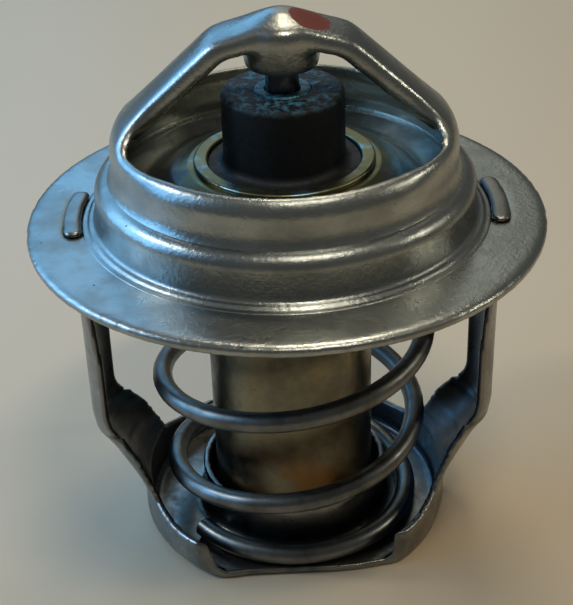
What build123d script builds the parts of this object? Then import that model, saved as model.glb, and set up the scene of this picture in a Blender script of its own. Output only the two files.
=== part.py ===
from build123d import *
import os
from math import asin, atan2, cos, degrees, hypot, radians, sin, tan

# Wax-element engine thermostat. Millimetres. The origin is the centre of the
# base's underside, +Z up, and the two legs stand at +X and -X.

# --- Flange and bridge, one drawn pressing
flange_radius = 27.0
flange_thickness = 1.2
flange_top = 38.0            # upper face of the flange above the base's underside
flange_edge_break = 0.3
neck_gap = 1.7               # on the flange, from a tab's head in to the neck
wall = 0.95                  # drawn sheet, thinner than the flange
neck_draft = 0.25
neck_height = 3.5
step_inset = 1.3             # the shoulder between the neck and the dome
step_rise = 1.4
dome_inset = 0.45
dome_rise = 1.0
dome_wall = 3.72             # upright part of the dome's side
crown_radius = 7.38          # where the sloping arms reach the crown
crown_rise = 9.7
nose_foot_radius = 4.5
nose_foot_rise = 0.89
apex_radius = 0.9
apex_rise = 1.55
skin_bends = [0.8, 1.2, 0.4, 1.5, 4.0, 3.5, 2.5, 4.2]
strap_half_width = 3.4
window_sill = 9.6            # above the flange
window_corner = 3.6
strap_lip_depth = 1.0        # the strap's edges are turned down this far
strap_edge_bend = 0.9

# --- Nose, the socket that holds the piston's tip
nose_rim_radius = 3.65
nose_radius = 4.1
nose_rim_height = 15.85      # above the flange
nose_taper_height = 3.2
nose_top_bend = 1.2
nose_rim_break = 0.2
nose_mouth_radius = 2.75
nose_throat_rise = 1.0
socket_depth = 1.5           # straight part round the piston's tip
socket_clearance = 0.1
socket_skin = 0.15           # metal left over the socket besides the sheet
tip_clearance = 0.15         # between the piston's tip and the socket's end

# --- Spring frame, a drawn cup with two channel-shaped legs
frame_gauge = 0.8
leg_inset = 4.4              # from the flange's rim in to the leg's outer face
leg_half_width = 4.6
leg_channel_radius = 6.8     # outer radius of the leg's curved section
leg_top_half_width = 5.4
channel_top_drop = 15.0      # below the flange, where the section is fully curved
leg_bend_height = 12.6       # where the legs turn in, above the base's underside
leg_bend_radius = 4.0
leg_shoulder_half_width = 5.7  # the leg widens to this just below its bend
leg_shoulder_length = 1.5
foot_height = 5.5            # where the foot joins the base's wall
foot_half_width = 7.3
foot_spread = 3.2            # the wall's edge comes down to the lip over this width
foot_corner = 5.0
base_radius = 17.35
lip_height = 4.3
base_cut = 14.0              # the base is cut straight this far from the centre
base_bend = 1.5
collar_height = 6.0
collar_bend = 2.0
collar_clearance = 0.75
tab_half_width = 4.5
slot_clearance = 0.08
head_overhang = 0.6
head_end_overhang = 0.5
head_rise = 0.5
head_corner = 0.9            # the peened heads have nearly round ends
head_bend = 0.35

# --- Valve plate
seat_clearance = 0.15
plate_clearance = 1.05       # between the plate's edge and the inside of the neck
plate_gauge = 0.9
trough_inset = 2.9
trough_drop = 1.0
ridge_rise = 2.0
hub_land = 0.92              # flat round the capsule
hub_slope = 1.8              # from that flat out to the ridge
hub_rise = 0.6
plate_bends = [0.6, 1.2, 1.6]
hub_clearance = 0.05

# --- Wax capsule
capsule_radius = 8.95
capsule_wall = 0.8
capsule_floor_height = 2.7   # the capsule's bottom above the base's underside
capsule_bend = 2.0
capsule_inner_bend = 1.2
bead_overhang = 0.4
bead_height = 0.55
bead_bend = 0.25
lip_thickness = 0.7
lip_inner_radius = 7.9
seal_clearance = 0.05

# --- What is clamped in the capsule's mouth
boot_foot = 0.85
boot_dish_clearance = 0.08
boot_dish_rise = 0.35
boot_radius = 6.25
boot_height = 7.8            # above the plate's hub
boot_root_bend = 0.8
boot_top_bend = 0.5
guide_flange = 1.35
guide_neck_radius = 2.9
guide_stand = 0.12           # the guide's end above the boot
guide_chamfer = 0.2
sleeve_head = 0.95
sleeve_head_radius = 5.2
sleeve_radius = 3.4
sleeve_end = 1.0
sleeve_end_clearance = 0.5
wax_clearance = 0.05

# --- Piston
piston_radius = 1.7
piston_length = 43.0
piston_tip_bend = 1.2
piston_taper_length = 9.0
piston_taper_radius = 1.1
bore_clearance = 0.06

# --- Spring
wire_diameter = 2.2
spring_turns = 3.28
spring_start = 20.0          # degrees round from +X where the wire leaves the base
lower_flat_turn = 164.0      # degrees of dead coil on the base
upper_flat_turn = 279.0      # degrees of dead coil under the plate
spring_base_clearance = 1.4  # between the collar and the lowest coil
spring_seat_offset = 1.4     # coil's centre outside the plate's trough
spring_seat_clearance = 0.15

half_turn = 180.0
small_bend = 0.05
near_zero = 0.05             # how close an edge counts as being in a place
edge_slack = 0.5             # how far past a bent corner an edge may lie


# --- Sections
def shifted(points, gap):
    # The same open path, moved to its left by gap.
    sides = []
    for (r0, z0), (r1, z1) in zip(points, points[1:]):
        length = hypot(r1 - r0, z1 - z0)
        sides.append(((z0 - z1) / length * gap, (r1 - r0) / length * gap))
    moved = [(points[0][0] + sides[0][0], points[0][1] + sides[0][1])]
    for (r, z), (ar, az), (br, bz) in zip(points[1:-1], sides, sides[1:]):
        mitre = 2 * gap ** 2 / ((ar + br) ** 2 + (az + bz) ** 2)
        moved.append((r + (ar + br) * mitre, z + (az + bz) * mitre))
    moved.append((points[-1][0] + sides[-1][0], points[-1][1] + sides[-1][1]))
    return moved


def other_bends(points, bends, gap):
    # Bend radii on the path's left side: tighter where it turns left.
    result = []
    for (r0, z0), (r1, z1), (r2, z2), bend in zip(points, points[1:], points[2:], bends):
        turn = (r1 - r0) * (z2 - z1) - (z1 - z0) * (r2 - r1)
        result.append(max(bend - gap, small_bend) if turn > 0 else bend + gap)
    return result


def sheet(points, bends, gauge):
    # Closed outline of a bent sheet, from one skin and its bend radii.
    left = shifted(points, gauge)
    radii = [0, *bends, 0, 0, *reversed(other_bends(points, bends, gauge)), 0]
    return FilletPolyline(*points, *reversed(left), radius=radii, close=True)


def turned(outline):
    # Spins a closed outline, drawn as radius and height, about Z.
    return revolve(Plane.XZ * make_face(outline), Axis.Z)


def lathe(points, radii):
    return turned(FilletPolyline(*points, radius=radii, close=True))


def ring(inner, outer, bottom, top):
    return lathe([(inner, bottom), (outer, bottom), (outer, top), (inner, top)], [0] * 4)


def side_prism(outline, reach):
    # Extrudes an outline, drawn as Y and Z, both ways along X.
    return extrude(Plane.YZ * make_face(outline), reach, both=True)


def block(half_x, half_y, bottom, top):
    return Pos(0, 0, (bottom + top) / 2) * Box(2 * half_x, 2 * half_y, top - bottom)


def save(name, shape):
    shape.label = name
    export_step(shape, f"parts/{name}.step")
    print(name, round(shape.volume, 1))


# --- Values that several pieces share
leg_radius = flange_radius - leg_inset
leg_inner_radius = leg_radius - frame_gauge
neck_radius = leg_inner_radius - head_overhang - neck_gap
step_radius = neck_radius - step_inset
dome_radius = step_radius - dome_inset
step_height = neck_height + step_rise
dome_height = step_height + dome_rise
shoulder_height = dome_height + dome_wall
crown_height = shoulder_height + crown_rise
nose_foot_height = crown_height + nose_foot_rise
apex_height = nose_foot_height + apex_rise

outer_skin = [
    (flange_radius, flange_top),
    (neck_radius + neck_draft, flange_top),
    (neck_radius, flange_top + neck_height),
    (step_radius, flange_top + step_height),
    (dome_radius, flange_top + dome_height),
    (dome_radius, flange_top + shoulder_height),
    (crown_radius, flange_top + crown_height),
    (nose_foot_radius, flange_top + nose_foot_height),
    (apex_radius, flange_top + apex_height),
    (0, flange_top + apex_height),
]
inner_skin = shifted(outer_skin, wall)
inner_skin[0] = (flange_radius, flange_top - flange_thickness)
inner_skin[1] = (inner_skin[1][0], flange_top - flange_thickness)

flange_underside = flange_top - flange_thickness

# The plate's edge stands just under the seat, the cone inside the neck's shoulder.
seat_low, seat_high = inner_skin[2], inner_skin[3]
plate_radius = seat_low[0] - plate_clearance
seat_slope = (seat_high[1] - seat_low[1]) / (seat_low[0] - seat_high[0])
seat_height = seat_low[1] + plate_clearance * seat_slope
plate_top = seat_height - seat_clearance * hypot(1, seat_slope)
trough_radius = plate_radius - trough_inset
trough_top = plate_top - trough_drop
ridge_top = trough_top + ridge_rise
hub_radius = capsule_radius + hub_clearance
hub_edge = hub_radius + hub_land
hub_top = ridge_top + hub_rise

collar_radius = capsule_radius + collar_clearance
collar_outer_radius = collar_radius + frame_gauge

nose_top = flange_top + apex_height
socket_top = nose_top - wall - socket_skin
piston_top = socket_top - tip_clearance
piston_bottom = piston_top - piston_length
bore_radius = piston_radius + bore_clearance

bead_top = hub_top + bead_height
capsule_bore = capsule_radius - capsule_wall
seal_radius = capsule_bore - seal_clearance
lip_bottom = bead_top - lip_thickness
boot_foot_top = lip_bottom - seal_clearance
boot_foot_bottom = boot_foot_top - boot_foot
guide_top_face = boot_foot_bottom
guide_bottom = guide_top_face - guide_flange
boot_top = hub_top + boot_height
sleeve_bottom = piston_bottom - sleeve_end_clearance - sleeve_end

wire_radius = wire_diameter / 2


# --- Flange and bridge
def bridge_blank():
    bends = other_bends(outer_skin, skin_bends, wall)
    bends[0] = skin_bends[0] + flange_thickness
    radii = [flange_edge_break, *skin_bends, 0, 0, *reversed(bends), flange_edge_break]
    return lathe([*outer_skin, *reversed(inner_skin)], radii)


def nose():
    # A tapered column under the crown's skin, with its upper edge rounded over.
    rim = flange_top + nose_rim_height
    column = lathe(
        [
            (0, rim),
            (nose_rim_radius, rim),
            (nose_radius, rim + nose_taper_height),
            (nose_radius, nose_top + wall),
            (0, nose_top + wall),
        ],
        [0, nose_rim_break, 0, 0, 0],
    )
    skin_bottom = (0, outer_skin[4][1])
    under_skin = lathe(
        [skin_bottom, *outer_skin[4:]],
        [0, 0, *skin_bends[4:], 0],
    )
    column = column & under_skin
    upper_edge = [
        edge
        for edge in column.edges().filter_by(GeomType.CIRCLE)
        if abs(edge.radius - nose_radius) < near_zero
        and edge.center().Z > rim + nose_taper_height + near_zero
    ]
    return fillet(upper_edge, nose_top_bend)


def socket():
    # Wide mouth, then a throat down to the size of the piston's tip.
    rim = flange_top + nose_rim_height
    tip_radius = piston_radius + socket_clearance
    throat = socket_top - socket_depth - nose_throat_rise
    return lathe(
        [
            (0, rim - wall),
            (nose_mouth_radius, rim - wall),
            (nose_mouth_radius, throat),
            (tip_radius, throat + nose_throat_rise),
            (tip_radius, socket_top),
            (0, socket_top),
        ],
        [0, 0, 0, 0, piston_tip_bend, 0],
    )


def windows(sill):
    # All above the sill that isn't the strap, one prism on each side.
    ceiling = nose_top + flange_radius
    outline = FilletPolyline(
        (strap_half_width, ceiling),
        (strap_half_width, sill),
        (flange_radius, sill),
        (flange_radius, ceiling),
        radius=[0, window_corner, 0, 0],
        close=True,
    )
    prism = side_prism(outline, flange_radius)
    return prism + mirror(prism, Plane.XZ)


def tab_slots():
    cutter = ring(
        leg_inner_radius - slot_clearance,
        leg_radius + slot_clearance,
        flange_underside - wall,
        flange_top + wall,
    )
    across = tab_half_width + slot_clearance
    return cutter & block(flange_radius, across, flange_underside - wall, flange_top + wall)


def strap_lips():
    # Two ribs under the strap's edges, as deep as those edges are turned down.
    depth = wall + strap_lip_depth
    bends = other_bends(outer_skin, skin_bends, depth)
    shell = lathe(
        [*outer_skin[4:], *reversed(shifted(outer_skin, depth)[4:])],
        [0, *skin_bends[4:], 0, 0, *reversed(bends[4:]), 0],
    )
    sill = flange_top + window_sill
    inner = strap_half_width - wall
    ribs = block(flange_radius, strap_half_width, sill, nose_top + wall)
    ribs = ribs - block(flange_radius, inner, sill, nose_top + wall)
    return shell & ribs


def make_flange_bridge():
    # The windows are cut short first, so that the strap's rounded edges fade out
    # into the sills when they are cut down to their full depth.
    sill = flange_top + window_sill
    body = bridge_blank() - windows(sill + strap_edge_bend) + strap_lips()
    cut_edges = [
        edge
        for edge in body.edges()
        if edge.center().Z > sill + strap_edge_bend - near_zero
        and edge.geom_type != GeomType.CIRCLE
        and on_outer_skin(edge)
    ]
    body = fillet(cut_edges, strap_edge_bend) - windows(sill)
    body = body + nose() - socket()
    return body - tab_slots()


def on_outer_skin(edge):
    # True for an edge whose middle lies on the outer skin's surface of revolution.
    middle = edge @ 0.5
    r = hypot(middle.X, middle.Y)
    z = middle.Z
    for (r0, z0), (r1, z1) in zip(outer_skin, outer_skin[1:]):
        length = hypot(r1 - r0, z1 - z0)
        along = ((r - r0) * (r1 - r0) + (z - z0) * (z1 - z0)) / length
        across = abs((r - r0) * (z1 - z0) - (z - z0) * (r1 - r0)) / length
        if -edge_slack < along < length + edge_slack and across < wall / 2:
            return True
    return False


# --- Spring frame
def make_spring_frame():
    body = base_cup() + collar()
    for turn in (0, half_turn):
        body = body + Rot(0, 0, turn) * leg() + Rot(0, 0, turn) * tab()
    return body


def base_cup():
    # Floor and wall, with the wall left higher under each leg.
    skin = [(collar_radius + collar_bend, 0), (base_radius, 0), (base_radius, foot_height)]
    cup = turned(sheet(skin, [base_bend], frame_gauge))
    half = [
        (foot_half_width, foot_height),
        (foot_half_width + foot_spread, lip_height),
        (base_cut, lip_height),
        (base_cut, 0),
    ]
    half_radii = [0, foot_corner, 0, 0]
    outline = FilletPolyline(
        *half,
        *[(-y, z) for y, z in reversed(half)],
        radius=[*half_radii, *reversed(half_radii)],
        close=True,
    )
    return cup & side_prism(outline, flange_radius)


def collar():
    skin = [
        (collar_radius, collar_height),
        (collar_radius, 0),
        (collar_radius + collar_bend, 0),
    ]
    return turned(sheet(skin, [collar_bend - small_bend], frame_gauge))


def band(radius, half_width):
    # Curved strip of sheet seen end on. Its crest is the origin, outward is +X.
    angle = asin(half_width / radius)
    inner = radius - frame_gauge
    corners = [
        (across * cos(angle) - radius, side * across * sin(angle))
        for across, side in ((radius, -1), (radius, 1), (inner, 1), (inner, -1))
    ]
    return make_face(
        [
            ThreePointArc(corners[0], (0, 0), corners[1]),
            Line(corners[1], corners[2]),
            ThreePointArc(corners[2], (-frame_gauge, 0), corners[3]),
            Line(corners[3], corners[0]),
        ]
    )


def leg():
    # Straight, bend and foot. The sheet is curved most in the middle of the leg
    # and opens out to the flange's and the base's own curvature at its ends.
    channel = band(leg_channel_radius, leg_half_width)
    channel_top = flange_underside - channel_top_drop
    upper = loft(
        [
            Pos(leg_radius, 0, channel_top) * channel,
            Pos(leg_radius, 0, flange_underside) * band(leg_radius, leg_top_half_width),
        ],
        ruled=True,
    )
    lean = atan2(leg_radius - base_radius, leg_bend_height - foot_height)
    bend_top = leg_bend_height + leg_bend_radius * tan(lean / 2)
    middle = extrude(Pos(leg_radius, 0, bend_top) * channel, channel_top - bend_top)
    axis = Axis((leg_radius - leg_bend_radius, 0, bend_top), (0, 1, 0))
    bend = revolve(Pos(leg_radius, 0, bend_top) * channel, axis, degrees(lean))
    end = Pos(leg_radius - leg_bend_radius, 0, bend_top) * Rot(0, degrees(lean), 0)
    crest = end * Pos(leg_bend_radius, 0, 0)
    shoulder = band(leg_channel_radius, leg_shoulder_half_width)
    foot = loft(
        [
            crest * channel,
            crest * Pos(0, 0, -leg_shoulder_length) * shoulder,
            Pos(base_radius, 0, foot_height) * band(base_radius, foot_half_width),
        ],
        ruled=True,
    )
    return upper + middle + bend + foot


def tab():
    # The leg's end passes up through its slot and is peened over.
    stem = ring(leg_inner_radius, leg_radius, flange_underside, flange_top)
    stem = stem & Pos(leg_radius, 0, 0) * block(leg_inset, tab_half_width, 0, flange_top)
    head = ring(
        leg_inner_radius - head_overhang,
        leg_radius + head_overhang,
        flange_top,
        flange_top + head_rise,
    )
    across = tab_half_width + head_end_overhang
    head = head & Pos(leg_radius, 0, 0) * block(leg_inset, across, 0, nose_top)
    head = fillet(head.edges().filter_by(Axis.Z), head_corner)
    upper = head.edges().group_by(Axis.Z)[-1]
    return stem + fillet(upper, head_bend)


# --- Spring
def make_main_spring():
    low_radius = collar_outer_radius + spring_base_clearance + wire_radius
    high_radius = trough_radius + spring_seat_offset
    low = frame_gauge + wire_radius
    rim_slope = trough_drop / trough_inset
    under_skin = (plate_gauge + spring_seat_clearance + wire_radius) * hypot(1, rim_slope)
    high = trough_top + spring_seat_offset * rim_slope - under_skin
    rise = high - low
    slope = degrees(atan2(high_radius - low_radius, rise))
    pitch = rise / spring_turns / cos(radians(slope))
    coil = Helix(pitch, rise, low_radius, cone_angle=slope)
    wire_face = Plane(coil @ 0, z_dir=coil % 0) * Circle(wire_radius)
    active = Pos(0, 0, low) * Rot(0, 0, spring_start) * sweep(wire_face, coil, is_frenet=True)
    end_turn = spring_start + 360 * spring_turns
    lower = dead_coil(low_radius, low, spring_start - lower_flat_turn, lower_flat_turn)
    upper = dead_coil(high_radius, high, end_turn, upper_flat_turn)
    lower_joint = knuckle(low_radius, low, spring_start)
    upper_joint = knuckle(high_radius, high, end_turn)
    return active + lower + upper + lower_joint + upper_joint


def dead_coil(radius, height, start, turn):
    face = Plane.XZ * Pos(radius, height) * Circle(wire_radius)
    return Rot(0, 0, start) * revolve(face, Axis.Z, turn)


def knuckle(radius, height, angle):
    # Rounds the corner where the helix meets a flat coil.
    place = Pos(radius * cos(radians(angle)), radius * sin(radians(angle)), height)
    return place * Sphere(wire_radius)


# --- Moving valve
def make_valve_plate():
    skin = [
        (plate_radius, plate_top),
        (trough_radius, trough_top),
        (hub_edge + hub_slope, ridge_top),
        (hub_edge, hub_top),
        (hub_radius, hub_top),
    ]
    return turned(sheet(skin, list(reversed(plate_bends)), plate_gauge))


def make_capsule_cup():
    bottom = capsule_floor_height
    return lathe(
        [
            (0, bottom),
            (capsule_radius, bottom),
            (capsule_radius, hub_top + small_bend),
            (capsule_radius + bead_overhang, hub_top + small_bend),
            (capsule_radius + bead_overhang, bead_top),
            (lip_inner_radius, bead_top),
            (lip_inner_radius, lip_bottom),
            (capsule_bore, lip_bottom),
            (capsule_bore, bottom + capsule_wall),
            (0, bottom + capsule_wall),
        ],
        [0, capsule_bend, 0, 0, bead_bend, bead_bend, 0, 0, capsule_inner_bend, 0],
    )


def make_rubber_boot():
    dish_radius = lip_inner_radius - boot_dish_clearance
    dish_top = boot_foot_top + boot_dish_rise
    bore = guide_neck_radius + seal_clearance
    return lathe(
        [
            (bore, boot_foot_bottom),
            (seal_radius, boot_foot_bottom),
            (seal_radius, boot_foot_top),
            (dish_radius, boot_foot_top),
            (dish_radius, dish_top),
            (boot_radius, dish_top),
            (boot_radius, boot_top),
            (bore, boot_top),
        ],
        [0, 0, 0, 0, small_bend, boot_root_bend, boot_top_bend, 0],
    )


def make_guide_body():
    top = boot_top + guide_stand
    return lathe(
        [
            (bore_radius, guide_bottom),
            (seal_radius, guide_bottom),
            (seal_radius, guide_top_face - seal_clearance),
            (guide_neck_radius, guide_top_face - seal_clearance),
            (guide_neck_radius, top),
            (bore_radius, top),
        ],
        [0, 0, 0, 0, guide_chamfer, guide_chamfer],
    )


def make_squeeze_sleeve():
    head_top = guide_bottom - seal_clearance
    return lathe(
        [
            (0, sleeve_bottom),
            (sleeve_radius, sleeve_bottom),
            (sleeve_radius, head_top - sleeve_head),
            (sleeve_head_radius, head_top - sleeve_head),
            (sleeve_head_radius, head_top),
            (bore_radius, head_top),
            (bore_radius, sleeve_bottom + sleeve_end),
            (0, sleeve_bottom + sleeve_end),
        ],
        [0, sleeve_end, 0, 0, 0, 0, 0, 0],
    )


def make_wax_charge():
    # Fills the capsule round and under the sleeve.
    inner = sleeve_radius + wax_clearance
    outer = capsule_bore - wax_clearance
    head_bottom = guide_bottom - seal_clearance - sleeve_head - wax_clearance
    bottom = capsule_floor_height + capsule_wall + wax_clearance
    return lathe(
        [
            (0, bottom),
            (outer, bottom),
            (outer, head_bottom),
            (inner, head_bottom),
            (inner, sleeve_bottom - wax_clearance),
            (0, sleeve_bottom - wax_clearance),
        ],
        [0, capsule_inner_bend, 0, 0, sleeve_end, 0],
    )


def make_piston():
    return lathe(
        [
            (0, piston_bottom),
            (piston_taper_radius, piston_bottom),
            (piston_radius, piston_bottom + piston_taper_length),
            (piston_radius, piston_top),
            (0, piston_top),
        ],
        [0, piston_taper_radius / 2, 0, piston_tip_bend, 0],
    )


os.makedirs("parts", exist_ok=True)
save("flange_bridge", make_flange_bridge())
save("spring_frame", make_spring_frame())
save("main_spring", make_main_spring())
save("piston", make_piston())
save("valve_plate", make_valve_plate())
save("capsule_cup", make_capsule_cup())
save("rubber_boot", make_rubber_boot())
save("guide_body", make_guide_body())
save("squeeze_sleeve", make_squeeze_sleeve())
save("wax_charge", make_wax_charge())
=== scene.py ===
from math import atan2, cos, degrees, pi, radians, sin

import bmesh
import bpy
from mathutils import Euler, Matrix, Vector


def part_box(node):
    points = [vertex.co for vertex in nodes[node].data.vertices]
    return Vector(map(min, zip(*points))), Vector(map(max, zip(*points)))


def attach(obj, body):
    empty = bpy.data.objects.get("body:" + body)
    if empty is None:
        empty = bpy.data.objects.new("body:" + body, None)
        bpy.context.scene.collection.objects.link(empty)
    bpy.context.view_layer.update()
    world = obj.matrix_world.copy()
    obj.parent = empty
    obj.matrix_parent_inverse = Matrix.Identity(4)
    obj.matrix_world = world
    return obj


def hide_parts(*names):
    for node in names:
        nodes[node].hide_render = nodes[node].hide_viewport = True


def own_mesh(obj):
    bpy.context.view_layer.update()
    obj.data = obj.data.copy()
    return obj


mm = 0.001  # the part's sizes are given in millimetres and used in metres
mergeGap = 0.001 * mm  # points closer than this are one point

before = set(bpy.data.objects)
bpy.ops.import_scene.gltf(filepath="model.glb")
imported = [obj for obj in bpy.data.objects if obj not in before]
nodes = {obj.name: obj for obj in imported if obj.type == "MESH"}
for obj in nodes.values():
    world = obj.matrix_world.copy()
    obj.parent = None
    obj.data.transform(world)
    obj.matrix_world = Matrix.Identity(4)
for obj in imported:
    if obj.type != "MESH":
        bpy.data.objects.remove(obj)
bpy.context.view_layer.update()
print("frame loaded:", len(nodes), "nodes")


# Short calls for the nodes that every finish below is built from
class Finish:
    def __init__(self, name):
        self.material = bpy.data.materials.new(name)
        self.material.use_nodes = True
        self.tree = self.material.node_tree
        self.shader = self.tree.nodes["Principled BSDF"]
        coordinates = self.add("TexCoord")
        self.place = coordinates.outputs["Object"]
        self.facing = coordinates.outputs["Normal"]

    def add(self, kind):
        return self.tree.nodes.new("ShaderNode" + kind)

    def put(self, value, socket):
        # A node's output is linked, and a plain number or colour is set on the socket
        if isinstance(value, bpy.types.NodeSocket):
            self.tree.links.new(value, socket)
        else:
            socket.default_value = value

    def set(self, **values):
        sockets = {
            "color": "Base Color",
            "metal": "Metallic",
            "rough": "Roughness",
            "gloss": "Specular IOR Level",
        }
        for key, value in values.items():
            self.put(value, self.shader.inputs[sockets[key]])

    def maths(self, what, a, b):
        node = self.add("Math")
        node.operation = what
        self.put(a, node.inputs[0])
        self.put(b, node.inputs[1])
        return node.outputs[0]

    def both(self, a, b):
        return self.maths("MULTIPLY", a, b)

    def vectorMaths(self, what, a, b=(0, 0, 0)):
        node = self.add("VectorMath")
        node.operation = what
        self.put(a, node.inputs[0])
        self.put(b, node.inputs[1])
        return node.outputs

    def stretched(self, scale):
        node = self.add("Mapping")
        node.inputs["Scale"].default_value = scale
        self.put(self.place, node.inputs["Vector"])
        return node.outputs["Vector"]

    def noise(self, size, detail, rough=0.5, vector=None):
        # size is about one blotch's width
        node = self.add("TexNoise")
        node.inputs["Scale"].default_value = 1 / size
        node.inputs["Detail"].default_value = detail
        node.inputs["Roughness"].default_value = rough
        self.put(vector or self.place, node.inputs["Vector"])
        return node.outputs["Fac"]

    def cells(self, size, vector=None):
        # 0 at scattered points about this size apart, rising between them
        node = self.add("TexVoronoi")
        node.inputs["Scale"].default_value = 1 / size
        self.put(vector or self.place, node.inputs["Vector"])
        return node.outputs["Distance"]

    def ramp(self, value, start, end, low=0.0, high=1.0):
        node = self.add("MapRange")
        node.interpolation_type = "SMOOTHSTEP"
        self.put(value, node.inputs["Value"])
        sockets = ("From Min", "From Max", "To Min", "To Max")
        for socket, number in zip(sockets, (start, end, low, high)):
            node.inputs[socket].default_value = number
        return node.outputs["Result"]

    def mix(self, share, first, second):
        node = self.add("Mix")
        node.data_type = "RGBA"
        self.put(share, node.inputs["Factor"])
        self.put(first, node.inputs["A"])
        self.put(second, node.inputs["B"])
        return node.outputs["Result"]

    def xyz(self):
        node = self.add("SeparateXYZ")
        self.put(self.place, node.inputs["Vector"])
        return node.outputs

    def height(self):
        return self.xyz()["Z"]

    def around(self):
        # Distance from the part's own axis
        x, y, _ = self.xyz()
        return self.maths("SQRT", self.maths("ADD", self.both(x, x), self.both(y, y)), 0)

    def rings(self, size, drift=0.02):
        # Fine lines that run round the part's axis, and change more along a turn with more drift
        x, y, z = self.xyz()
        node = self.add("CombineXYZ")
        self.put(self.around(), node.inputs["X"])
        self.put(self.both(self.maths("ARCTAN2", y, x), drift * mm), node.inputs["Y"])
        self.put(z, node.inputs["Z"])
        return self.noise(size, detail=2, rough=0.6, vector=node.outputs["Vector"])

    def near(self, center, reach, fade):
        # 1 inside a ball round a point, fading out at its edge
        away = self.vectorMaths("DISTANCE", self.place, center)["Value"]
        return self.ramp(away, reach + fade, reach - fade)

    def inward(self, fade=0.3):
        # 1 on skins that face the part's axis, where the steel finishes paint shade
        flat = self.vectorMaths("MULTIPLY", self.place, (1, 1, 0))["Vector"]
        across = self.vectorMaths("NORMALIZE", flat)["Vector"]
        turned = self.vectorMaths("DOT_PRODUCT", across, self.facing)["Value"]
        return self.ramp(turned, 0, -fade)

    def wornEdges(self, radius):
        # Sharp edges catch the light as if they were rounded
        node = self.add("Bevel")
        node.samples = 4
        node.inputs["Radius"].default_value = radius
        self.put(node.outputs["Normal"], self.shader.inputs["Normal"])

    def bump(self, height, depth, strength=1.0):
        node = self.add("Bump")
        node.inputs["Distance"].default_value = depth
        node.inputs["Strength"].default_value = strength
        self.put(height, node.inputs["Height"])
        normal = self.shader.inputs["Normal"]
        if normal.is_linked:
            self.put(normal.links[0].from_socket, node.inputs["Normal"])
        self.put(node.outputs["Normal"], normal)


def paint(r, g, b):
    return (r, g, b, 1.0)


# Finishes. A Cut is the two values between which a pattern fades in, Heights are the two
# heights between which something does, and roughness is the least and the most of it.
def pressedBridgeSteel():
    look = {
        "bright": paint(0.38, 0.395, 0.375),
        "dull": paint(0.27, 0.28, 0.265),
        # painted shade: the colour of the skins that face the part's axis
        "inside": paint(0.21, 0.215, 0.18),
        "blotchSize": 5 * mm,
        "dullCut": (0.35, 0.7),
        "edgeRadius": 0.28 * mm,
        "roughness": (0.22, 0.31),
        "roughCut": (0.3, 0.75),
        "hazeSize": 14 * mm,
        "hazeCut": (0.3, 0.7),
        "hazeRoughness": 0.06,
        "speck": paint(0.03, 0.03, 0.03),
        "speckSpacing": 1.9 * mm,
        "speckCut": (0.07, 0.045),
        "speckPatchSize": 6 * mm,
        "speckPatchCut": (0.5, 0.56),
        "dab": paint(0.14, 0.018, 0.008),  # red paint beside the nose's tip
        "dabPlace": (2.9 * mm, -0.6 * mm, 58.9 * mm),
        "dabReach": 2.2 * mm,
        "dabFade": 0.7 * mm,
        "dabRagSize": 1.1 * mm,
        "dabRag": 1.3,
        "dabCut": (1.15, 1.25),
        "dabHeights": (57.2 * mm, 57.8 * mm),
        "dabCover": 0.95,
        "dabRoughness": 0.6,
        "lineSize": 0.16 * mm,
        "lineDepth": 0.004 * mm,
        "grainSize": 0.45 * mm,
        "grainCut": (0.35, 0.7),
        "grainDepth": 0.02 * mm,
        "dentSize": 3.5 * mm,
        "dentDepth": 0.05 * mm,
    }
    f = Finish("bridgeSteel")
    f.wornEdges(look["edgeRadius"])
    blotch = f.noise(look["blotchSize"], detail=4, rough=0.6)
    steel = f.mix(f.ramp(blotch, *look["dullCut"]), look["bright"], look["dull"])
    specks = f.ramp(f.cells(look["speckSpacing"]), *look["speckCut"])
    patches = f.ramp(f.noise(look["speckPatchSize"], detail=1), *look["speckPatchCut"])
    steel = f.mix(f.both(specks, patches), steel, look["speck"])
    # Paints shade on the skins that face the part's axis
    steel = f.mix(f.inward(), steel, look["inside"])
    rag = f.both(f.noise(look["dabRagSize"], detail=4, rough=0.7), look["dabRag"])
    ball = f.near(look["dabPlace"], look["dabReach"], look["dabFade"])
    dab = f.ramp(f.maths("ADD", ball, rag), *look["dabCut"])
    dab = f.both(dab, f.ramp(f.height(), *look["dabHeights"]))
    haze = f.ramp(f.noise(look["hazeSize"], detail=2), *look["hazeCut"], 0, look["hazeRoughness"])
    rough = f.maths("ADD", f.ramp(blotch, *look["roughCut"], *look["roughness"]), haze)
    f.set(
        color=f.mix(dab, steel, look["dab"]),
        metal=f.maths("SUBTRACT", 1.0, f.both(dab, look["dabCover"])),
        rough=f.maths("MAXIMUM", rough, f.both(dab, look["dabRoughness"])),
    )
    f.bump(f.rings(look["lineSize"]), look["lineDepth"])
    grain = f.ramp(f.noise(look["grainSize"], detail=3, rough=0.65), *look["grainCut"])
    f.bump(grain, look["grainDepth"], strength=0.6)
    f.bump(f.noise(look["dentSize"], detail=2), look["dentDepth"], strength=0.5)
    return f.material


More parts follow.
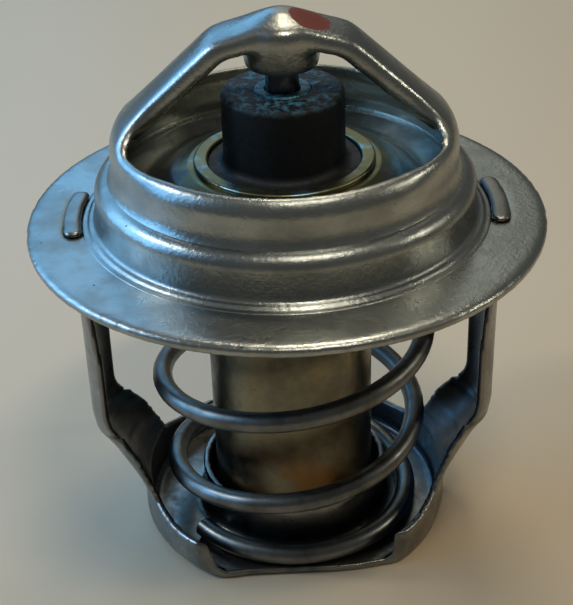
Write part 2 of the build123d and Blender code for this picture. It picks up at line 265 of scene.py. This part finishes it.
def pressedFrameSteel():
    look = {
        "outside": paint(0.27, 0.265, 0.245),
        # darker blotches, with more of them towards the bottom
        "darkBlotch": paint(0.10, 0.10, 0.10),
        # painted shade: the colour of the skins that face the part's axis
        "inside": paint(0.075, 0.08, 0.085),
        "darkBlotchSize": 4 * mm,
        "darkBlotchCut": (0.35, 0.7),
        "darkBlotchHeights": (9 * mm, 2 * mm),
        "darkBlotchShares": (0.35, 0.8),  # above the first height and below the second
        "roughness": (0.26, 0.38),
        "roughCut": (0.3, 0.7),
        "roughSize": 2 * mm,
        "grainSize": 0.35 * mm,
        "grainDepth": 0.012 * mm,
        "dentSize": 2.6 * mm,
        "dentDepth": 0.05 * mm,
    }
    f = Finish("frameSteel")
    # Darker blotches all over, more of them towards the bottom
    darkBlotch = f.ramp(f.noise(look["darkBlotchSize"], detail=4, rough=0.6), *look["darkBlotchCut"])
    low = f.ramp(f.height(), *look["darkBlotchHeights"], *look["darkBlotchShares"])
    steel = f.mix(f.both(darkBlotch, low), look["outside"], look["darkBlotch"])
    wear = f.noise(look["roughSize"], detail=3, rough=0.6)
    f.set(
        # Paints shade on the skins that face the part's axis
        color=f.mix(f.inward(), steel, look["inside"]),
        metal=1.0,
        rough=f.ramp(wear, *look["roughCut"], *look["roughness"]),
    )
    f.bump(f.noise(look["grainSize"], detail=3, rough=0.6), look["grainDepth"], strength=0.7)
    f.bump(f.noise(look["dentSize"], detail=2), look["dentDepth"], strength=0.5)
    return f.material


def drawnSpringSteel():
    look = {
        "wire": paint(0.20, 0.205, 0.195),
        "dark": paint(0.11, 0.11, 0.10),
        "darkSize": 3 * mm,
        "darkCut": (0.35, 0.75),
        "roughness": (0.32, 0.44),
        "roughCut": (0.3, 0.7),
        "streakSize": 0.25 * mm,
        "streakDrift": 0.3,
        "streakDepth": 0.006 * mm,
    }
    f = Finish("springSteel")
    dark = f.ramp(f.noise(look["darkSize"], detail=4, rough=0.6), *look["darkCut"])
    streaks = f.rings(look["streakSize"], look["streakDrift"])
    f.set(
        color=f.mix(dark, look["wire"], look["dark"]),
        metal=1.0,
        rough=f.ramp(streaks, *look["roughCut"], *look["roughness"]),
    )
    f.bump(streaks, look["streakDepth"])
    return f.material


def groundPinSteel():
    look = {
        "pin": paint(0.2, 0.2, 0.2),
        "oil": paint(0.05, 0.05, 0.055),
        "oilSize": 1.5 * mm,
        "oilCut": (0.35, 0.65),
        "roughness": (0.3, 0.45),
        "roughCut": (0.3, 0.7),
        "lineSize": 0.1 * mm,
        "lineDepth": 0.004 * mm,
    }
    f = Finish("pinSteel")
    oil = f.ramp(f.noise(look["oilSize"], detail=4, rough=0.6), *look["oilCut"])
    lines = f.rings(look["lineSize"])
    f.set(
        color=f.mix(oil, look["pin"], look["oil"]),
        metal=1.0,
        rough=f.ramp(lines, *look["roughCut"], *look["roughness"]),
    )
    f.bump(lines, look["lineDepth"])
    return f.material


def valvePlateSteel():
    look = {
        "steel": paint(0.26, 0.28, 0.27),
        "stain": paint(0.12, 0.14, 0.14),
        "stainSize": 3.5 * mm,
        "stainCut": (0.35, 0.7),
        "hub": paint(0.19, 0.18, 0.095),
        "hubEdge": (11.1 * mm, 10.7 * mm),
        "hubPatchSize": 4 * mm,
        "hubPatchCut": (0.66, 0.58),
        "roughness": (0.3, 0.45),
        "lineSize": 0.2 * mm,
        "lineDepth": 0.006 * mm,
    }
    f = Finish("plateSteel")
    stain = f.ramp(f.noise(look["stainSize"], detail=4, rough=0.6), *look["stainCut"])
    patches = f.ramp(f.noise(look["hubPatchSize"], detail=4, rough=0.6), *look["hubPatchCut"])
    hub = f.both(f.ramp(f.around(), *look["hubEdge"]), patches)
    f.set(
        color=f.mix(hub, f.mix(stain, look["steel"], look["stain"]), look["hub"]),
        metal=1.0,
        rough=f.ramp(stain, 0, 1, *look["roughness"]),
    )
    f.bump(f.rings(look["lineSize"]), look["lineDepth"])
    return f.material


def tarnishedBrass():
    look = {
        "brass": paint(0.27, 0.235, 0.145),
        "olive": paint(0.15, 0.145, 0.115),
        "tarnishSize": 6 * mm,
        "tarnishCut": (0.35, 0.68),
        "foot": paint(0.22, 0.12, 0.045),  # a darker, warmer tone in patches low on the capsule
        "footHeights": (16 * mm, 8 * mm),
        "footSize": 7 * mm,
        "footCut": (0.42, 0.6),
        "crimp": paint(0.20, 0.19, 0.10),  # the crimped mouth, with pale bloom on it
        "crimpHeights": (43.0 * mm, 43.3 * mm),
        "bloom": paint(0.22, 0.34, 0.38),
        "bloomSize": 4 * mm,
        "bloomCut": (0.52, 0.62),
        "roughness": (0.3, 0.44),
        "roughCut": (0.3, 0.7),
        "roughSize": 1.2 * mm,
        "lineSize": 0.22 * mm,
        "lineDepth": 0.006 * mm,
        "dentSize": 1.8 * mm,
        "dentDepth": 0.03 * mm,
        "nickSpacing": 2.7 * mm,
        "nickStretch": (1, 1, 2.2),
        "nickCut": (0.05, 0.03),
        "nickDepth": 0.05 * mm,
    }
    f = Finish("capsuleBrass")
    z = f.height()
    tarnish = f.ramp(f.noise(look["tarnishSize"], detail=5, rough=0.65), *look["tarnishCut"])
    body = f.mix(tarnish, look["brass"], look["olive"])
    warm = f.ramp(f.noise(look["footSize"], detail=2), *look["footCut"])
    body = f.mix(f.both(f.ramp(z, *look["footHeights"]), warm), body, look["foot"])
    nickCells = f.cells(look["nickSpacing"], f.stretched(look["nickStretch"]))
    nicks = f.ramp(nickCells, *look["nickCut"])
    body = f.mix(nicks, body, look["olive"])
    bloom = f.ramp(f.noise(look["bloomSize"], detail=4, rough=0.65), *look["bloomCut"])
    crimp = f.mix(bloom, look["crimp"], look["bloom"])
    wear = f.noise(look["roughSize"], detail=4, rough=0.6)
    f.set(
        color=f.mix(f.ramp(z, *look["crimpHeights"]), body, crimp),
        metal=1.0,
        rough=f.ramp(wear, *look["roughCut"], *look["roughness"]),
    )
    f.bump(f.rings(look["lineSize"]), look["lineDepth"])
    f.bump(f.noise(look["dentSize"], detail=3, rough=0.6), look["dentDepth"], strength=0.5)
    f.bump(nicks, -look["nickDepth"])
    return f.material


def guideBrass():
    look = {
        "metal": paint(0.10, 0.12, 0.12),
        "bloom": paint(0.12, 0.38, 0.50),
        "bloomSize": 0.7 * mm,
        "bloomCut": (0.44, 0.56),
        "metalness": (0.9, 0.2),  # bare, and under the bloom
        "roughness": (0.4, 0.75),
        "crustSize": 0.3 * mm,
        "crustDepth": 0.05 * mm,
    }
    f = Finish("guideBrass")
    bloom = f.ramp(f.noise(look["bloomSize"], detail=4, rough=0.7), *look["bloomCut"])
    f.set(
        color=f.mix(bloom, look["metal"], look["bloom"]),
        metal=f.ramp(bloom, 0, 1, *look["metalness"]),
        rough=f.ramp(bloom, 0, 1, *look["roughness"]),
    )
    f.bump(f.noise(look["crustSize"], detail=3, rough=0.7), look["crustDepth"])
    return f.material


def mouldedRubber(name, crustShare):
    look = {
        "rubber": paint(0.008, 0.008, 0.009),
        "gloss": 0.35,
        "roughness": (0.5, 0.68),
        "roughCut": (0.3, 0.7),
        "roughSize": 0.8 * mm,
        "skinSize": 0.35 * mm,
        "skinDepth": 0.02 * mm,
        "crust": paint(0.05, 0.17, 0.24),  # lies on the boot's top, most of it by the guide
        "crustHeights": (50.6 * mm, 51.4 * mm),
        "crustRadii": (6.4 * mm, 4.2 * mm),
        "crustShares": (0.3, 1.0),  # outside the first radius and inside the second
        "crustSize": 0.9 * mm,
        "crustCut": (0.46, 0.6),
        "crustDepth": 0.06 * mm,
    }
    f = Finish(name)
    clots = f.noise(look["crustSize"], detail=4, rough=0.7)
    crust = f.ramp(clots, *look["crustCut"], 0, crustShare)
    crust = f.both(f.ramp(f.height(), *look["crustHeights"]), crust)
    crust = f.both(crust, f.ramp(f.around(), *look["crustRadii"], *look["crustShares"]))
    wear = f.noise(look["roughSize"], detail=3, rough=0.6)
    f.set(
        color=f.mix(crust, look["rubber"], look["crust"]),
        metal=0.0,
        gloss=look["gloss"],
        rough=f.ramp(wear, *look["roughCut"], *look["roughness"]),
    )
    f.bump(f.noise(look["skinSize"], detail=3, rough=0.6), look["skinDepth"])
    f.bump(crust, look["crustDepth"])
    return f.material


def packedWax():
    look = {
        "wax": paint(0.42, 0.26, 0.12),
        "copper": paint(0.3, 0.13, 0.06),
        "flakeSize": 0.6 * mm,
        "flakeCut": (0.2, 0.5),
        "flakeDepth": 0.01 * mm,
        "roughness": (0.45, 0.6),
    }
    f = Finish("wax")
    flakes = f.ramp(f.cells(look["flakeSize"]), *look["flakeCut"])
    f.set(
        color=f.mix(flakes, look["copper"], look["wax"]),
        metal=0.0,
        rough=f.ramp(flakes, 0, 1, *look["roughness"]),
    )
    f.bump(flakes, look["flakeDepth"])
    return f.material


finishes = {
    "flange_bridge": pressedBridgeSteel(),
    "spring_frame": pressedFrameSteel(),
    "piston": groundPinSteel(),
    "valve_plate": valvePlateSteel(),
    "capsule_cup": tarnishedBrass(),
    "rubber_boot": mouldedRubber("bootRubber", crustShare=1.0),
    "guide_body": guideBrass(),
    "squeeze_sleeve": mouldedRubber("sleeveRubber", crustShare=0.0),
    "wax_charge": packedWax(),
    "main_spring": drawnSpringSteel(),
}


def giveFinish(obj, node):
    # A node has its own finish, and a new piece has that of the node it belongs with
    obj.data.materials.clear()
    obj.data.materials.append(finishes[node])


for nodeName in finishes:
    giveFinish(nodes[nodeName], nodeName)
print("finishes:", len(finishes))


# Calls that the new pieces share
def linked(name, data):
    obj = bpy.data.objects.new(name, data)
    bpy.context.scene.collection.objects.link(obj)
    return obj


def evaluated(obj):
    # The mesh that an object comes out as, with its modifiers or its wire's thickness
    bpy.context.view_layer.update()
    depsgraph = bpy.context.evaluated_depsgraph_get()
    return bpy.data.meshes.new_from_object(obj.evaluated_get(depsgraph))


def meshOf(name, shape):
    mesh = bpy.data.meshes.new(name)
    shape.to_mesh(mesh)
    shape.free()
    return mesh


def soft(value, start, end):
    # 0 before start and 1 past end, smooth between
    share = min(max((value - start) / (end - start), 0), 1)
    return share * share * (3 - 2 * share)


def lathed(name, outline, steps):
    # Spins a closed outline of radius and height, in millimetres, about the part's axis
    shape = bmesh.new()
    corners = [shape.verts.new((r * mm, 0, z * mm)) for r, z in outline]
    edges = [shape.edges.new((a, b)) for a, b in zip(corners, corners[1:] + corners[:1])]
    bmesh.ops.spin(
        shape,
        geom=corners + edges,
        cent=(0, 0, 0),
        axis=(0, 0, 1),
        angle=2 * pi,
        steps=steps,
        use_merge=True,
    )
    bmesh.ops.remove_doubles(shape, verts=shape.verts, dist=mergeGap)
    bmesh.ops.recalc_face_normals(shape, faces=shape.faces)
    mesh = meshOf(name, shape)
    for face in mesh.polygons:
        face.use_smooth = True
    return linked(name, mesh)


def arc(center, radius, start, end, steps):
    # Points on a round corner of an outline, angles in degrees from straight out
    angles = [radians(start + (end - start) * i / steps) for i in range(steps + 1)]
    return [(center[0] + radius * cos(a), center[1] + radius * sin(a)) for a in angles]


def softened(name, node, voxel, passes):
    # A fine even copy of a node's shape, whose sheared edges are worn round
    shape = bmesh.new()
    shape.from_mesh(nodes[node].data)
    bmesh.ops.remove_doubles(shape, verts=shape.verts, dist=mergeGap)
    source = linked(name + "Source", meshOf(name, shape))
    remesh = source.modifiers.new("even", "REMESH")
    remesh.mode = "VOXEL"
    remesh.voxel_size = voxel
    mesh = evaluated(source)
    bpy.data.objects.remove(source)
    shape = bmesh.new()
    shape.from_mesh(mesh)
    for _ in range(passes):
        bmesh.ops.smooth_vert(
            shape,
            verts=shape.verts,
            factor=0.5,
            use_axis_x=True,
            use_axis_y=True,
            use_axis_z=True,
        )
    lowest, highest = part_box(node)
    for vertex in shape.verts:
        for i in range(3):
            vertex.co[i] = min(max(vertex.co[i], lowest[i]), highest[i])
    shape.to_mesh(mesh)
    shape.free()
    for face in mesh.polygons:
        face.use_smooth = True
    return linked(name, mesh)


# Neck ring, the draw's round shoulder and the small step that is coined round its foot
neckShape = {
    "steps": 240,
    # Its outline in order, as corners' radius and height in millimetres
    # and as arcs' middle, radius, first angle, last angle and steps
    "footEdge": [(21.35, 37.7), (21.3, 37.99), (21.05, 38.05)],
    "stepFoot": ((20.86, 38.43), 0.38, 270, 222, 4),
    "stepEdge": ((20.32, 38.15), 0.2, 42, 90, 3),
    "wallFoot": ((20.3, 38.85), 0.5, 270, 184, 8),
    "wall": (19.67, 40.3),
    "shoulder": ((18.04, 41.35), 1.62, 0, 82, 16),
    "domeFoot": ((18.22, 43.42), 0.46, 270, 180, 8),
    "underDome": [(17.74, 43.9), (17.5, 44.2), (17.3, 44.2), (17.3, 37.7)],
}


def makeNeckRing():
    look = neckShape
    outline = [
        *look["footEdge"],
        *arc(*look["stepFoot"]),
        *arc(*look["stepEdge"]),
        *arc(*look["wallFoot"]),
        look["wall"],
        *arc(*look["shoulder"]),
        *arc(*look["domeFoot"]),
        *look["underDome"],
    ]
    ring = lathed("neckRing", outline, look["steps"])
    giveFinish(ring, "flange_bridge")
    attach(ring, "frame")


makeNeckRing()
print("neck ring made")


# Flange and bridge, one pressing
bridgeShape = {
    "voxel": 0.32 * mm,
    "passes": 7,
    "sillRoll": 0.75 * mm,  # how far the wall turns in at the windows' sills
    "sillDepth": 1.7 * mm,  # how far below the sills the turn starts
    "sillFull": 0.6,  # it would be full at this share of that depth above them
    "sillInside": 15.0 * mm,  # the wall is further out than this
    "sillMiddle": 1.0 * mm,  # the sills' height is taken this near their middles
    "sillEnds": (58.0, 38.0),  # degrees from a window's middle, over which the turn fades in
}


def rollSills(mesh):
    # The wall turns in a little at the foot of each window
    look = bridgeShape
    top = 0
    for vertex in mesh.vertices:
        x, y, z = vertex.co
        if abs(x) < look["sillMiddle"] and abs(y) > look["sillInside"]:
            top = max(top, z)
    for vertex in mesh.vertices:
        x, y, z = vertex.co
        away = (x * x + y * y) ** 0.5
        if away < look["sillInside"] or z < top - look["sillDepth"]:
            continue
        share = soft((z - top) / look["sillDepth"], -1, look["sillFull"])
        share *= soft(degrees(atan2(abs(x), abs(y))), *look["sillEnds"])
        nearer = 1 - look["sillRoll"] * share / away
        vertex.co.x = x * nearer
        vertex.co.y = y * nearer


def makeFlangeBridge():
    look = bridgeShape
    piece = softened("flangeBridge", "flange_bridge", look["voxel"], look["passes"])
    rollSills(piece.data)
    giveFinish(piece, "flange_bridge")
    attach(piece, "frame")
    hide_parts("flange_bridge")


makeFlangeBridge()
print("flange and bridge made")


# Spring frame
frameShape = {
    "voxel": 0.24 * mm,
    "passes": 3,
    "slice": 0.4 * mm,  # the legs are measured in slices this tall
    "slicesAbove": 4,  # and this many of them above the leg's top
    "legFoot": 5.6 * mm,
    "legTop": 21.0 * mm,
    "legStart": 12.5 * mm,  # the legs are further out than this
    "crestWidth": 0.6 * mm,  # a leg's crest is taken this near its middle
    "edgeShare": 0.93,  # and its edge past this share of its half width
    "sweep": 2.2 * mm,  # the legs' widening is spread over about this height each way
    "bendSweep": 1.3 * mm,  # and their bend over this
    "footFade": 1.0 * mm,
    "wallFade": (14.3 * mm, 16.4 * mm),  # nothing is slanted inside the first radius
    "wallTop": 4.0 * mm,
    "wallEnd": 53.9,  # degrees from the legs to where the wall is cut
    "wallEndFade": 16.0,
    "leftSlant": (-3.0, 3.5),  # degrees that the wall's end is turned at the floor and at its top
    "rightSlant": (4.5, 6.5),
}


def level(table, z):
    # Reads a table of slices between its two nearest, each standing for its middle height
    place = z / frameShape["slice"] - 0.5
    low = int(place)
    return table[low] + (place - low) * (table[low + 1] - table[low])


def spread(table, reach):
    # Evens a table out over a height
    count = round(reach / frameShape["slice"])
    even = []
    for i in range(len(table)):
        shares = [max(count + 1 - abs(i - j), 0) for j in range(len(table))]
        total = sum(share * value for share, value in zip(shares, table))
        even.append(total / sum(shares))
    return even


def measureLegs(mesh):
    # Half width, crest and edge of the legs' outer skin, slice by slice
    look = frameShape
    count = int(look["legTop"] / look["slice"]) + look["slicesAbove"]
    slices = [[] for _ in range(count)]
    for vertex in mesh.vertices:
        x, y, z = vertex.co
        if abs(x) > look["legStart"] and z < count * look["slice"]:
            slices[int(z / look["slice"])].append((abs(x), abs(y)))
    widths = []
    crests = []
    edges = []
    for points in slices:
        width = max((y for x, y in points), default=0)
        widths.append(width)
        crests.append(max((x for x, y in points if y < look["crestWidth"]), default=0))
        edges.append(max((x for x, y in points if y > look["edgeShare"] * width), default=0))
    first = int(look["legFoot"] / look["slice"])
    for table in (widths, crests, edges):
        table[:first] = [table[first]] * first
    return widths, crests, edges


def flowLegs(mesh):
    # The legs widen and bend in one soft sweep down to the base's wall
    look = frameShape
    widths, crests, edges = measureLegs(mesh)
    insets = [crest - edge for crest, edge in zip(crests, edges)]
    newWidths = spread(widths, look["sweep"])
    newInsets = spread(insets, look["sweep"])
    newCrests = spread(crests, look["bendSweep"])
    for vertex in mesh.vertices:
        x, y, z = vertex.co
        if abs(x) < look["legStart"] or not look["legFoot"] < z < look["legTop"]:
            continue
        side = 1 if x > 0 else -1
        fade = soft(z, look["legFoot"], look["legFoot"] + look["footFade"])
        across = y / level(widths, z)
        moved = (level(insets, z) - level(newInsets, z)) * across * across
        moved += level(newCrests, z) - level(crests, z)
        vertex.co.x = x + side * fade * moved
        vertex.co.y = y + fade * across * (level(newWidths, z) - level(widths, z))


def slantWallEnd(vertex):
    # Near where the base's wall is cut, it is turned a little about the part's axis
    look = frameShape
    x, y, z = vertex.co
    side = 1 if x > 0 else -1
    away = (x * x + y * y) ** 0.5
    atFloor, atTop = look["rightSlant"] if x > 0 else look["leftSlant"]
    angle = degrees(atan2(-y, abs(x)))
    share = soft(angle, look["wallEnd"] - look["wallEndFade"], look["wallEnd"])
    share *= soft(away, *look["wallFade"])
    turn = share * (atFloor + (atTop - atFloor) * min(z / look["wallTop"], 1))
    turned = radians(angle - turn)
    vertex.co.x = side * away * cos(turned)
    vertex.co.y = -away * sin(turned)


def makeSpringFrame():
    look = frameShape
    piece = softened("springFrame", "spring_frame", look["voxel"], look["passes"])
    flowLegs(piece.data)
    for vertex in piece.data.vertices:
        if vertex.co.y < 0:
            slantWallEnd(vertex)
    piece.data.update()
    giveFinish(piece, "spring_frame")
    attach(piece, "frame")
    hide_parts("spring_frame")


makeSpringFrame()
print("spring frame made")


# Spring
coil = {
    "wire": 2.2 * mm,
    "lowRadius": 13.0 * mm,
    "highRadius": 16.03 * mm,
    "activeTurns": 3.28,
    "start": 20.0,  # degrees round from +X where the wire leaves the base
    "lowFlat": 164.0,  # degrees that it lies flat on the base before that
    "highFlat": 279.0,  # and flat under the plate at its other end
    "stepsPerTurn": 64,
    "sides": 24,
}


def coilPoint(turn, low, high):
    # A place on the wire's middle line, turn in degrees
    lift = min(max((turn - coil["start"]) / (360 * coil["activeTurns"]), 0), 1)
    radius = coil["lowRadius"] + lift * (coil["highRadius"] - coil["lowRadius"])
    height = low + lift * (high - low)
    return (radius * cos(radians(turn)), radius * sin(radians(turn)), height)


def makeSpring():
    lowest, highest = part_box("main_spring")
    low = lowest.z + coil["wire"] / 2
    high = highest.z - coil["wire"] / 2
    first = coil["start"] - coil["lowFlat"]
    last = coil["start"] + 360 * coil["activeTurns"] + coil["highFlat"]
    count = round((last - first) / 360 * coil["stepsPerTurn"])
    line = bpy.data.curves.new("mainSpring", "CURVE")
    line.dimensions = "3D"
    line.bevel_depth = coil["wire"] / 2
    line.bevel_resolution = coil["sides"] // 4 - 1
    line.use_fill_caps = True
    path = line.splines.new("POLY")
    path.points.add(count)
    for i, point in enumerate(path.points):
        point.co = (*coilPoint(first + (last - first) * i / count, low, high), 1)
    wire = linked("mainSpringCurve", line)
    mesh = evaluated(wire)
    bpy.data.objects.remove(wire)
    for face in mesh.polygons:
        face.use_smooth = len(face.vertices) == 4  # the ends' round caps stay flat
    spring = linked("mainSpring", mesh)
    giveFinish(spring, "main_spring")
    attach(spring, "frame")
    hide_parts("main_spring")
    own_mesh(spring)


makeSpring()
print("spring made")


# Floor, light and camera
def makeFloor():
    look = {
        "half": 0.6,  # in metres
        "color": paint(0.60, 0.47, 0.32),
        "rough": 0.38,
        "gloss": 0.45,
    }
    shape = bmesh.new()
    bmesh.ops.create_grid(shape, x_segments=1, y_segments=1, size=look["half"])
    floor = linked("floor", meshOf("floor", shape))
    f = Finish("floorPaint")
    f.set(color=look["color"], rough=look["rough"], gloss=look["gloss"])
    floor.data.materials.append(f.material)


# Each soft light's place, its width and height in metres, its radiance and its tint
panels = {
    "sideWindow": ((-0.50, 0.10, 0.27), (0.56, 0.46), 3.6, (0.20, 0.54, 1.0)),
    "backWindow": ((-0.25, 0.52, 0.36), (0.44, 0.36), 1.7, (0.20, 0.56, 1.0)),
    "backWall": ((0.04, 0.58, 0.36), (0.20, 0.44), 0.5, (0.95, 1.0, 0.88)),
    "ceilingLamp": ((0.05, 0.24, 0.52), (0.16, 0.05), 24.0, (1.0, 0.88, 0.68)),
    "frontLamp": ((0.08, -0.16, 0.54), (0.16, 0.05), 29.0, (1.0, 0.92, 0.76)),
    "leftLamp": ((-0.42, 0.03, 0.42), (0.05, 0.10), 34.0, (1.0, 0.95, 0.85)),
    "rightLamp": ((0.52, 0.00, 0.34), (0.05, 0.10), 22.0, (1.0, 0.92, 0.74)),
}


def softLight(name, place, size, glow, tint, aim):
    width, height = size
    lamp = bpy.data.lights.new(name, "AREA")
    lamp.shape = "RECTANGLE"
    lamp.size = width
    lamp.size_y = height
    lamp.energy = glow * pi * width * height  # the power that gives this radiance
    lamp.color = tint
    obj = linked(name, lamp)
    obj.location = place
    obj.rotation_euler = (Vector(aim) - Vector(place)).to_track_quat("-Z", "Y").to_euler()


def makeLights():
    room = {
        "middle": (0, 0, 35 * mm),  # every light faces this place
        "color": paint(0.92, 0.96, 0.92),
        "glow": 0.11,
    }
    for name, panel in panels.items():
        softLight(name, *panel, room["middle"])
    world = bpy.data.worlds.new("studio")
    world.use_nodes = True
    background = world.node_tree.nodes["Background"]
    background.inputs["Color"].default_value = room["color"]
    background.inputs["Strength"].default_value = room["glow"]
    bpy.context.scene.world = world
    bpy.context.scene.view_settings.view_transform = "Standard"


def makeCamera():
    view = {
        "place": (-1.749 * mm, -130.16 * mm, 105.512 * mm),
        "turn": (58.713, 1.578, -1.603),  # in degrees
        "lens": 83.31,
        "sensor": 36.0,
        "nearest": 10 * mm,
        "furthest": 10000 * mm,
    }
    camera = bpy.data.cameras.new("camera")
    camera.sensor_width = view["sensor"]
    camera.lens = view["lens"]
    camera.clip_start = view["nearest"]
    camera.clip_end = view["furthest"]
    obj = linked("camera", camera)
    obj.location = view["place"]
    obj.rotation_euler = Euler([radians(a) for a in view["turn"]], "XYZ")
    bpy.context.scene.camera = obj


makeFloor()
makeLights()
makeCamera()
print("floor, lights and camera placed")
